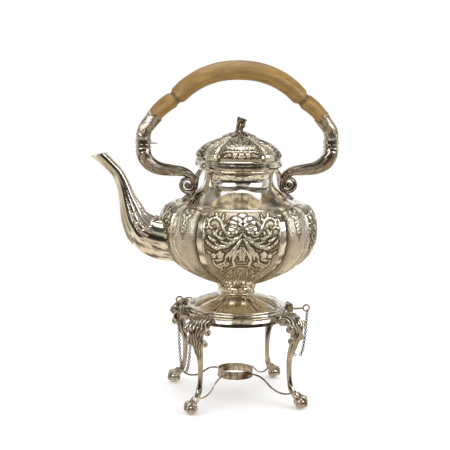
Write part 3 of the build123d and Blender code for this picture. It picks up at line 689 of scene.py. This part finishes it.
def foot_panel():
    """The foot's wide panel, from its neck at 0 down to its rim: falling leaves, scrolls and a flower."""
    art = Chasing(32, -2, 42)
    for x, lean, length in ((0, 90, 14), (4.4, 78, 13), (8.4, 64, 11)):
        art.leaf(x, 3, lean, length, 3.8)
    art.scroll(12.6, 23.4, 4.4, 160, 1.3, 1.5, 0.9)
    art.leaf(16.8, 22.4, 24, 9, 2.8, 20)
    art.leaf(9.4, 27.6, 120, 7.4, 2.6, 30)
    art.flower(0, 25.4, 3.6)
    return art


LID_ART, FOOT_ART = lid_panel(), foot_panel()
FOOT_WEAR = 0.16  # how much is left of the foot's chasing


def lid_relief(turn, radius, _, part):
    """Lobes, the chasing in them, and a painted dark reflection along the wide panels' lower edge."""
    place, narrow, is_wide = spot = lobes(turn)
    fade = clamp((radius - 6) / 26)
    rise, seam = lobe_height(*spot, 1.3, 1.2, 1.5, 2.4)
    down = part * LID_ARC + 0 * turn
    height, cavity = LID_ART.read(radius * np.sin(np.radians(place)), down)
    leaf_h, leaf_c = NARROW_ART.read(1.5 * radius * np.sin(np.radians(narrow)), 214 - down)
    inside = (np.abs(place) < 29) & (down > 11) & (down < 51)
    chased = np.where(is_wide, height * inside, 0.8 * leaf_h * (down > 12) * (down < 44))
    cavity = np.where(is_wide, cavity * inside, leaf_c * 0.6)
    edge = clamp(part * 14) * clamp((1 - part) * 14)
    # painted dark reflection along the lower edge of each wide panel
    low = 0.45 * clamp((part - 0.82) / 0.06) * is_wide
    return ((rise - 0.5) * fade + 0.6 * chased) * edge, clamp(cavity * 0.9 + seam * fade * 0.9 + low)


def foot_relief(turn, radius, _, part):
    """Lobes whose chasing is worn almost flat."""
    place, narrow, is_wide = spot = lobes(turn, FOOT_TURN, FOOT_SEAM)
    fade = clamp((radius - 20) / 12) * clamp((51 - radius) / 5)
    rise, seam = lobe_height(*spot, 2.1, 1.7, 1.6, 2.6, FOOT_SEAM)
    down = part * FOOT_ARC + 0 * turn
    height, cavity = FOOT_ART.read(radius * np.sin(np.radians(place)), down)
    inside = is_wide & (np.abs(place) < FOOT_SEAM - 4) & (down > 2) & (down < 30)
    edge = clamp(part * 14) * clamp((1 - part) * 12)
    cavity = cavity * inside * FOOT_WEAR + 1.5 * seam**2 * fade
    return ((rise - 0.5) * fade + FOOT_WEAR * height * inside) * edge, clamp(cavity)


lid = turned(LID_PROFILE, lid_relief, LID_INSIDE, 720)
lid.make("lid_dome_chased", "lid", "chased_silver", "lid_dome")
foot = turned(FOOT_PROFILE, foot_relief, FOOT_INSIDE, 600)
foot.make("kettle_foot_chased", "kettle", "chased_silver", "kettle_foot")


def finial_calyx():
    """Eight pointed leaves, long and short in turn, that lie on the crown round a boss."""
    calyx = Shape()
    for k in range(8):
        tip = (18.6, 288.9) if k % 2 == 0 else (15, 289.9)
        rows = [(3, 294.4, 0.9, 1.6), (6.4, 293.2, 1, 3.4), (10.4, 291.9, 1, 4.4), (14, 290.4, 0.9, 3.4)]
        rows.append((*tip, 0.8, 0.4))
        plate(calyx, rows, 45 * k, ribs=1, rise=0.7, scallops=3, bite=0.2, columns=17)
    calyx.tube([(0, 0, 288), (0, 0, 291), (0, 0, 293.8), (0, 0, 295.2)], [7.4, 7.2, 5.4, 4.4], 24, 4)
    calyx.make("finial_calyx_leaves", "lid", "cast_silver", "finial_calyx")


def finial():
    """A cut twig that leans a little, with bark, a knot and a hollowed end."""
    stick = Shape()
    height = np.linspace(0, 1, 46)[:, None]
    turn = full_turn(40)[None]
    radius = 3.7 + 1.5 * height**1.3 - 0.5 * clamp((height - 0.94) / 0.06) ** 2
    bark = 0.32 * np.cos(5 * turn + 2.2 * np.sin(5 * height)) + 0.26 * np.cos(9 * turn - 6 * height + 1)
    knot = 1.2 * np.exp(-(((height - 0.42) / 0.09) ** 2) - ((np.cos(turn - 5.4) - 1) / 0.3) ** 2)
    radius = radius + bark + knot
    lean = 3.4 * height**1.4
    z = 294.2 + 14.2 * height - 0.10 * lean * np.cos(turn) * radius
    points = np.stack([lean + radius * np.cos(turn), radius * np.sin(turn), z], axis=-1)
    cut = points[-1:]
    centre = cut.mean(axis=1, keepdims=True)
    rings, shades = [], []
    for size, depth, shade in ((0.86, -0.1, 0.1), (0.62, 0.7, 0.6), (0.3, 0.9, 0.8), (0.05, 0.5, 0.6)):
        rings.append(centre + (cut - centre) * size - depth * UP)
        shades.append(np.full(turn.shape, shade))
    cavity = np.vstack([clamp(0.55 - 0.8 * bark) + 0 * height, *shades])
    stick.grid(np.vstack([points, *rings]), cavity=cavity)
    stick.make("finial_twig", "lid", "cast_silver", "finial")


finial_calyx()
finial()


# ------- spout
# rows of swept rods, here and below: (distance out, height, half depth, half width)
SPOUT = [
    (157.5, 275, 7.4, 5.4), (150, 268.6, 6.4, 5.4), (141, 260, 6, 5.6), (131.8, 250, 6.2, 6),
    (125.9, 238.4, 6.9, 6.6), (121.8, 226, 8.1, 7.8), (117.2, 212.3, 11.3, 10), (112.3, 199.6, 14.2, 13),
    (104.8, 189.4, 18.2, 16.2), (97.4, 184.2, 20.6, 18.2),
]
SPOUT_WALL = 1.1
# the tip's low corner, the slope of its cut, and the way that the spout runs there
LIP, LIP_SLOPE, LIP_WAY = (158.9, 267.5), 4.2 / 16.9, np.array([-7.5, 0, 6.4])


def spout_relief(turn, along, length, at):
    """Long panels between sharp ridges, their borders chased, with acanthus at the root."""
    part = along / length
    size = np.clip((at[2] - 4.6) / 9, 0.16, 1)
    ridge = np.abs(np.cos(3 * turn)) ** 7
    side_line = bell(np.abs(np.sin(3 * turn)), 0.86, 0.07)
    chased = np.abs(np.cos(3 * turn)) < 0.82
    root = clamp((part - 0.50) / 0.16)
    leaf = np.abs(np.sin(pi * (along / 10 - 1.1 * np.abs(np.sin(3 * turn)))))
    height = size * (1.35 * ridge - 0.45 * side_line + root * (0.22 * leaf - 0.1) * chased)
    border = size * (0.55 * (ridge < 0.2) * (ridge > 0.02) + 0.6 * side_line)
    cavity = border + 0.7 * root * chased * clamp(0.5 - 1.6 * leaf)
    return height, clamp(cavity * clamp(part / 0.12))


def spout():
    """The hollow upper spout: scalloped where it meets its root, and cut on a slope at its tip."""
    def trim(turn):
        point = np.abs(np.cos(2 * turn)) ** 0.7
        return 0.84 + 0.14 * point - 0.04 * np.cos(turn)

    outer, cavity = swept(SPOUT, 180, spout_relief, sides=96, trim=trim)
    thin = [(r, z, half - SPOUT_WALL, wide - SPOUT_WALL) for r, z, half, wide in SPOUT]
    inner, _ = swept(thin, 180, sides=96, trim=trim)
    points = np.vstack([inner[::-1], outer])
    depth = np.vstack([0 * cavity + 0.35, cavity])
    over = -points[..., 0] - LIP[0]
    beyond = np.clip(points[..., 2] - (LIP[1] - LIP_SLOPE * over), 0, None)
    back = beyond / (LIP_WAY[2] + LIP_SLOPE * -LIP_WAY[0])
    points = points - back[..., None] * LIP_WAY
    shape = Shape()
    shape.grid(points, along=True, cavity=depth)
    shape.make("spout_upper_chased", "kettle", "chased_silver", "spout_upper")


spout()


# ------- handle
ARM = [
    (104, 277, 7.4, 7.6), (104, 273, 8, 8), (102, 265.6, 7.9, 8), (96, 258.8, 7.6, 7.8),
    (86, 254.2, 6.9, 7.4), (72, 252.3, 6, 6.8), (60, 250.6, 5, 6.4), (51.8, 245, 4.2, 6.2),
    (48.6, 236.6, 3, 6.2),
]
# the arm's curl: its centre, and its radius at each 42 degrees from -142
CURL = (56, 236.9)
CURL_RADII = (9.2, 8.4, 7.8, 7.4, 7, 6.6, 6, 5.4, 4.7, 4, 3.3, 2.6, 2, 1.6)
SOCKET = [
    (104, 285.8, 7.4, 7.4), (104, 289, 7.9, 7.9), (102.2, 296.4, 7.8, 7.8), (95.8, 305, 8.1, 8.2),
    (91.4, 311.2, 8.9, 9),
]
STRAP = [
    (42.6, 253.4, 1.4, 6.4), (46.4, 247.4, 1.6, 8.4), (48.2, 240, 1.6, 9.2), (49, 234, 1.6, 9.6),
    (52.2, 228.6, 1.6, 9.4), (57, 224.6, 1.5, 7.4), (62.6, 220.9, 1.2, 1.4),
]


def acanthus(turn, along, length, start, end, pitch, rise, half_spread=1):
    """A leaf with a vein and slanting lobes on each side of a rod, between two parts of its length."""
    part = along / length
    off = np.arccos(clamp(np.abs(np.sin(turn))))
    tip = clamp((part - start) / 0.10) * clamp((end - part) / 0.16)
    reach = half_spread * np.sqrt(tip)
    on = clamp((reach - off) / 0.22)
    lobe = np.abs(np.sin(pi * (along / pitch - 0.8 * off)))
    vein = bell(off, 0, 0.10)
    rim = bell(off, reach, 0.14) * (tip > 0.02)
    height = rise * (on * (0.14 * lobe**0.5 + 0.8 * vein) + 0.9 * rim)
    outline = 0.75 * bell(off - reach, 0.26, 0.10) * (tip > 0.02)
    return height, clamp(on * clamp(0.42 - 1.8 * lobe) + 0.42 * on + outline)


def arm_relief(turn, along, length, _):
    """Leaves on both sides of the bend, then reeds and flutes along the run in to the neck."""
    part = along / length
    upper, dark = acanthus(turn, along, length, 0.03, 0.46, 10.5, 0.55, 0.95)
    off = np.arccos(clamp(np.abs(np.sin(turn)))) * np.sign(np.cos(turn))
    run = clamp((part - 0.42) / 0.08)
    reeds = 0.55 * run * (bell(off, 0.42, 0.13) + bell(off, -0.50, 0.13))
    flute = run * (bell(off, 0.12, 0.16) + bell(off, -0.82, 0.14))
    # painted shade along two opposite edges of the arm
    shade = 0.6 * bell(off, -0.9, 0.3) + 0.4 * bell(off, 1, 0.2)
    return upper + reeds - 0.4 * flute, clamp(dark + 0.75 * flute + shade)


def socket_relief(turn, along, length, _):
    """A leaf that points away from the grip."""
    return acanthus(turn, length - along, length, 0.04, 0.95, 9, 0.55)


def socket_trim(turn):
    return 0.80 + 0.2 * np.abs(np.cos(2 * turn)) ** 0.8


def handle_side(name, angle):
    """The arm that ends in a curl with its eye, the grip's socket, and the strap on the neck."""
    curl = []
    for k, radius in enumerate(CURL_RADII):
        turn = radians(-142 + 42 * k)
        place = (CURL[0] + radius * cos(turn), CURL[1] + radius * sin(turn))
        curl.append((*place, 2.5 - 0.1 * k, 6.2 + 0.05 * k))
    arm = Shape()
    sweep(arm, ARM + curl, angle, arm_relief, sides=56, spacing=0.7, power=2.3)
    out, across = upright(angle)
    hub = CURL[0] * out + np.array([0, 0, CURL[1]])
    eye = [hub + across * w for w in (-7.9, -7.6, -6.6, 6.6, 7.6, 7.9)]
    arm.tube(eye, [0.2, 1.7, 2.3, 2.3, 1.7, 0.2], 16, 2)
    replaced = (f"handle_arm_{name}", f"handle_scroll_{name}")
    arm.make(f"handle_arm_leafed_{name}", "kettle", "cast_silver", *replaced)
    socket = Shape()
    sweep(socket, SOCKET, angle, socket_relief, sides=56, spacing=0.6, trim=socket_trim)
    socket.make(f"handle_socket_leafed_{name}", "kettle", "cast_silver", f"handle_socket_{name}")
    strap = Shape()
    plate(strap, STRAP, angle, ribs=3, rise=1.1, scallops=4, bite=0.16, wrap=1)
    strap.make(f"handle_strap_leafed_{name}", "kettle", "cast_silver", f"handle_strap_{name}")


handle_side("left", 180)
handle_side("right", 0)

# the small rod that stands out of the left collar
ROD = [(-98, 0, 281.6), (-95, 0, 281.5), (-91.4, 0, 281.3), (-89.6, 0, 281.2)]
rod = Shape()
rod.tube(ROD, [0.75, 0.7, 0.65, 0.55], 12, 4)
rod.make("collar_rod", "kettle", "fitting_silver")


GRIP_SIDE = [
    (95.8, 304.4, 7.3, 7.5), (92.4, 310, 7.8, 7.9), (88.4, 315.2, 8.1, 8.2), (80.6, 322.2, 8.5, 8.7),
    (74.4, 326.4, 8.6, 8.8), (71.8, 328.4, 7.4, 8.3), (69.6, 330.2, 7.3, 8.2), (67.6, 332, 9.3, 9),
    (64.2, 335, 9.7, 9.3), (56, 342.2, 9.9, 9.6), (41.6, 351, 10.1, 9.8), (24, 357.2, 10.3, 10),
    (8, 359.5, 10.4, 10),
]


def grip_relief(turn, along, length, at):
    """Flat facets that meet in an arris along each side, and a shallow groove under it."""
    side = np.abs(np.sin(turn))
    arris = 0.9 * side**14 - 0.45 * np.sin(2 * turn) ** 2
    groove = bell(turn % pi, 1.92, 0.12) * (np.abs(along / length - 0.5) < 0.42)
    notch = clamp((8.1 - at[2]) / 0.8) * (np.abs(along / length - 0.5) < 0.45)
    return arris - 0.12 * groove, clamp(0.35 * groove + 0.9 * notch * (np.abs(at[0]) < 76))


other_side = [(-x, *rest) for x, *rest in reversed(GRIP_SIDE)]
grip = Shape()
sweep(grip, GRIP_SIDE + other_side, 0, grip_relief, sides=64, spacing=0.9)
grip.make("handle_grip_carved", "kettle", "grip", "handle_grip", sharp=35)


# ------- legs
LEG = [
    (57.5, 90.5, 4, 5), (63, 92.5, 4.6, 5.6), (69.6, 91.8, 5, 6.6), (74.2, 86.4, 5, 7.4), (75, 78, 4.2, 7),
    (72.6, 68.6, 3.4, 5.4), (69.8, 58, 2.9, 3.9), (68.6, 46, 2.6, 3), (69, 33, 2.5, 2.7),
    (71.2, 22, 2.8, 2.8), (75.8, 14.8, 3.2, 3.2), (80.5, 11.6, 3.4, 3.8),
]
KNEE = [
    (60, 100.6, 1, 7), (67, 100.8, 1.3, 13.4), (74.4, 98.4, 1.5, 16.6), (79.4, 92.6, 1.6, 15.8),
    (81, 85.4, 1.6, 11.8), (79.6, 77.4, 1.5, 11.6), (77, 70, 1.4, 7.6), (74.2, 63, 1.2, 4.4),
    (72.4, 56.4, 0.9, 1.2),
]
# two tendrils on each side of the knee: (distance out, distance across, height) and radii
TENDRILS = (
    ([(66, 6, 96), (70, 10.6, 93), (74.8, 13.4, 93.4), (78.6, 12.6, 90)], [0.8, 1.3, 1.5, 0.9]),
    ([(78.8, 8.6, 82.6), (77.4, 10.6, 78.8), (75, 11, 77), (72.8, 9.6, 76.4)], [0.6, 1.1, 1.2, 0.8]),
)
BALL, BALL_HEIGHT, BALL_RADIUS = 84, 6.3, 6.4
# a toe: degrees above the ball's middle and distance from it
TOE = ((62, 7.3), (38, 8), (14, 7.4), (-10, 7.2), (-32, 6.9))


def leg_relief(turn, along, length, _):
    """A sharp spine down the shank, and leaf lobes on the ankle."""
    part = along / length
    spine = 0.5 * clamp(np.cos(turn)) ** 6 + 0.35 * clamp(np.cos(turn - pi)) ** 6
    ankle, dark = acanthus(turn, along, length, 0.80, 0.99, 4.6, 0.5)
    return spine * clamp(part * 4) + ankle, dark


def leg_shank(name, angle):
    shank = Shape()
    sweep(shank, LEG, angle, leg_relief, sides=40, spacing=0.8)
    shank.make(f"leg_cabriole_{name}", "stand", "cast_silver", f"leg_{name}")


def knee_shell(name, angle):
    """A ribbed leaf over the knee, with two scrolls and two tendrils on each side."""
    out, across = upright(angle)
    knee = Shape()
    plate(knee, KNEE, angle, ribs=3.5, rise=1.7, scallops=4, bite=0.30, wrap=2, columns=61, spacing=0.6)
    for hand in (-1, 1):
        volute(knee, (75.2, 88.6), 4.8, 100, -1.2, angle, 1.2, 1.9, shift=hand * 13.4)
        volute(knee, (75.6, 75.6), 3.8, 80, -1.2, angle, 1.1, 1.6, shift=hand * 10.6)
        for path, radii in TENDRILS:
            knee.tube([out * r + across * hand * w + UP * z for r, w, z in path], radii, 10, 5)
    knee.make(f"knee_shell_{name}", "stand", "cast_silver", f"knee_leaf_{name}")


def claw_and_ball(name, angle):
    """A ball, flat where it stands, gripped by four toes that come down from the ankle."""
    out, across = upright(angle)
    claw = Shape()
    hub = out * BALL + UP * BALL_HEIGHT
    height = np.linspace(-pi / 2 + 0.02, pi / 2 - 0.02, 24)[:, None]
    spin = full_turn(32)[None]
    level = np.cos(height)
    ball = np.stack([level * np.cos(spin), level * np.sin(spin), np.sin(height) + 0 * spin], -1)
    ball = hub + ball * BALL_RADIUS
    ball[..., 2] = np.maximum(ball[..., 2], 0)
    claw.grid(ball)
    for toe in (-62, 0, 62, 180):
        way = out * cos(radians(toe)) + across * sin(radians(toe))
        path = [hub - out * 3.2 + UP * 7.4 + way * 0.6]
        for rise, far in TOE:
            rise = radians(rise)
            path.append(hub + way * far * cos(rise) + UP * far * sin(rise))
        claw.tube(path, [2.4, 1.9, 1.75, 1.25, 1.35, 0.35], 12, 5)
    ankle = [out * 78.6 + UP * 15.6, out * 81.6 + UP * 13.4, hub + UP * 5.6]
    claw.tube(ankle, [3.4, 3.6, 3], 18, 5)
    claw.make(f"claw_and_ball_{name}", "stand", "cast_silver", f"foot_ball_{name}")


for corner, corner_angle in CORNERS.items():
    leg_shank(corner, corner_angle)
    knee_shell(corner, corner_angle)
    claw_and_ball(corner, corner_angle)


# ------- the draw pins' loops
# the loop's radius, its wire's radius in CAD and here, and the pin's radius
LOOP_RADIUS, LOOP_WIRE, LOOP_THICK, SHANK_RADIUS = 3.4, 0.62, 1, 1.2


def pin_loop(pin, hand):
    """A stout ring of worn wire round the pin's loop, which is at the pin's upper outer corner."""
    low, high = (np.array(corner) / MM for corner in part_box(pin))
    reach = LOOP_RADIUS + LOOP_WIRE
    x = high[0] - reach if hand > 0 else low[0] + reach
    centre = np.array([x, low[1] + SHANK_RADIUS, high[2] - reach])
    turn = full_turn(48)[:, None]
    spin = full_turn(14)[None]
    thick = LOOP_THICK * (1 + 0.06 * np.sin(5 * turn) + 0.04 * np.sin(11 * turn + 1))
    radius = LOOP_RADIUS + thick * np.cos(spin)
    ring = np.stack([radius * np.cos(turn), thick * np.sin(spin), radius * np.sin(turn)], axis=-1)
    loop = Shape()
    loop.grid(centre + ring, along=True, cavity=0.25 + 0.25 * np.cos(spin) + 0 * turn)
    loop.make(f"{pin}_loop", pin, "fitting_silver", shift=False)


pin_loop("front_pin", -1)
pin_loop("rear_pin", 1)


# ------- everything that keeps its CAD shape
for node in nodes.values():
    for slot in node.material_slots:
        base = slot.material.name.split(".")[0] if slot.material else "silver"
        slot.material = materials.get(base, materials["silver"])

CHAIN_SWELL = 0.2
for side in ("front", "rear"):
    for strand in ("pin", "stand"):
        swell = nodes[f"{side}_chain_{strand}_side"].modifiers.new("wire", "DISPLACE")
        swell.strength, swell.mid_level = CHAIN_SWELL * MM, 0


# ------- stage, light and camera
# from here on in metres
FLOOR_RADIUS, FLOOR_SIDES, FLOOR_DROP = 1.6, 96, 0.0002


def backdrop():
    """A pale round floor, a hair below the feet, that the silver doesn't mirror."""
    material, net, where = new_material("studio_floor")
    tone = net.ramp(net.noise(where, 3, 2), [(0, 0.93), (1, 0.97)])
    net.surface({"Base Color": tone, "Roughness": 0.9})
    mesh = bpy.data.meshes.new("floor")
    turns = [2 * pi * k / FLOOR_SIDES for k in range(FLOOR_SIDES)]
    ring = [(FLOOR_RADIUS * cos(turn), FLOOR_RADIUS * sin(turn), -FLOOR_DROP) for turn in turns]
    mesh.from_pydata(ring, [], [list(range(FLOOR_SIDES))])
    mesh.materials.append(material)
    floor = add_object("floor", mesh)
    floor.visible_glossy = False


def softbox(name, place, aim_height, size, power):
    """A rectangular lamp turned to a point on the middle axis at that height."""
    light = bpy.data.lights.new(name, "AREA")
    light.shape, light.energy = "RECTANGLE", power
    light.size, light.size_y = size
    lamp = add_object(name, light)
    lamp.location = place
    lamp.rotation_mode = "QUATERNION"
    lamp.rotation_quaternion = (Vector((0, 0, aim_height)) - Vector(place)).to_track_quat("-Z", "Y")


# what the silver mirrors: bands of light and dark from behind the camera to the far side, and overhead
ROOM_ROUND = [
    (0, (0.018, 0.015, 0.012)), (0.28, (0.05, 0.043, 0.034)), (0.38, (0.30, 0.275, 0.24)),
    (0.48, (0.92, 0.89, 0.84)), (0.62, (0.42, 0.395, 0.36)), (0.85, (0.95, 0.94, 0.93)),
]
ROOM_ABOVE = [(0.45, (0.86, 0.83, 0.78)), (0.72, (0.13, 0.115, 0.095)), (0.97, (0.50, 0.47, 0.42))]
TABLE_GLOW, CLUTTER = (1.02, 0.91, 0.74), (0.035, 0.028, 0.02)


def studio():
    """White light all round, but for the mottled room that glossy rays meet, and three lamps."""
    world = bpy.data.worlds.new("studio")
    world.use_nodes = True
    net = Net(world.node_tree)
    way = net.add("TexCoord").outputs["Generated"]
    parts = net.add("SeparateXYZ", {"Vector": way})
    mottle = net.math("MULTIPLY", net.math("SUBTRACT", net.noise(way, 4, 3), 0.5), 0.34)
    turned_in = net.math("ADD", parts.outputs["Y"], net.math("MULTIPLY", parts.outputs["X"], 0.16))
    facing = net.math("ADD", net.math("MULTIPLY", net.math("ADD", turned_in, 1), 0.62), mottle)
    height = parts.outputs["Z"]
    lifted = net.math("ADD", height, mottle)
    overhead = net.ramp(lifted, [(0.26, 0), (0.42, 0.9), (0.60, 0.8), (0.85, 0.85)])
    room = net.blend(overhead, net.ramp(facing, ROOM_ROUND), net.ramp(height, ROOM_ABOVE))
    underfoot = net.ramp(net.math("MULTIPLY", height, -1), [(0.10, 0), (0.26, 0.9)])
    room = net.blend(underfoot, room, TABLE_GLOW)
    clutter = net.ramp(net.noise(way, 3.4, 2), [(0.43, 0.85), (0.50, 0)])
    room = net.blend(clutter, room, CLUTTER)
    path = net.add("LightPath")
    soft = net.blend(path.outputs["Is Glossy Ray"], (1, 1, 1), room)
    colour = net.blend(path.outputs["Is Camera Ray"], soft, (1, 1, 1))
    background = net.add("Background", {"Color": colour, "Strength": 1})
    net.add("OutputWorld", {"Surface": background.outputs["Background"]})
    scene.world = world
    softbox("softbox_left", (-0.95, -0.95, 0.85), 0.17, (1.1, 0.55), 7)
    softbox("softbox_right", (1, -0.85, 0.8), 0.17, (1, 0.55), 6.5)
    softbox("top_light", (0.1, 0.1, 1.6), 0, (1.2, 1.2), 9)


# the photograph's camera: how far round the kettle it stands, and how it is aimed, in degrees
VIEW_TURN, VIEW_YAW, VIEW_PITCH, VIEW_ROLL = -12.57, 0.72, 8, 0.85
VIEW_DISTANCE, VIEW_HEIGHT = 1.1037, 0.3469
SENSOR_MM, LENS_MM = 36, 81.4


def camera():
    turn, yaw, pitch, roll = (radians(v) for v in (VIEW_TURN, VIEW_YAW, VIEW_PITCH, VIEW_ROLL))
    x, y = sin(turn) * VIEW_DISTANCE + AXIS_X * MM, -cos(turn) * VIEW_DISTANCE
    level = Vector((-sin(turn + yaw), cos(turn + yaw), 0))
    ahead = level * cos(pitch) - Vector((0, 0, sin(pitch)))
    right = ahead.cross(Vector((0, 0, 1))).normalized()
    up = right.cross(ahead)
    right, up = right * cos(roll) + up * sin(roll), up * cos(roll) - right * sin(roll)
    data = bpy.data.cameras.new("camera")
    data.sensor_width, data.lens = SENSOR_MM, LENS_MM
    data.clip_start, data.clip_end = 0.01, 20
    view = add_object("camera", data)
    pose = Matrix((right, up, -ahead)).transposed().to_4x4()
    pose.translation = (x, y, VIEW_HEIGHT)
    view.matrix_world = pose
    scene.camera = view


backdrop()
studio()
camera()
scene.view_settings.view_transform = "Standard"
